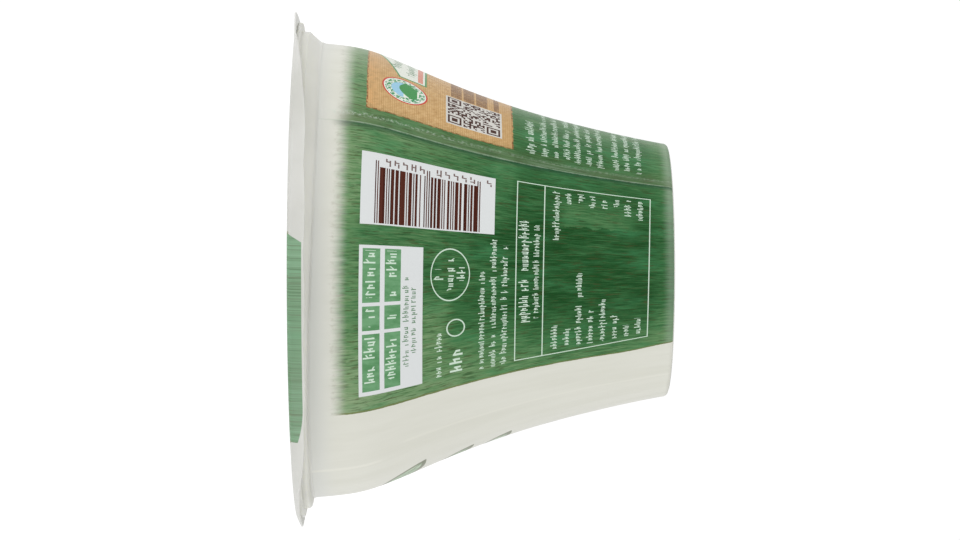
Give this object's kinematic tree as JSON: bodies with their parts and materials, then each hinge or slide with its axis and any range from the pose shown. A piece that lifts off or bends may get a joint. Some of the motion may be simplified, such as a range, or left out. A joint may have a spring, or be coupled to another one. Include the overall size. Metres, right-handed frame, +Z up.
{
  "type": "ricotta pot",
  "caption": "Shut single pot of fresh ricotta: flared milky plastic pot with a printed wrap label and a crimped sealing film over its rim.",
  "frame": {"origin": "centre of the base, on the surface the pot stands on", "axes": "+Z up the pot's axis towards the sealing film; -Y is the front, with the panels of small print; +X towards the label's overlap"},
  "size_m": [0.1124, 0.1102, 0.0814],
  "materials": {
    "pot_plastic": "milky translucent polypropylene, satin, near white from the cheese behind it",
    "label_print": "printed plastic label, semi-gloss: green wood grain, milky white and kraft brown fields",
    "film": "thin printed sealing film, milky, semi-gloss, with a green wood-grain field"
  },
  "bodies": {
    "root": {"pot": "pot_plastic", "label": "label_print", "lid_film": "film"}
  },
  "joints": []
}
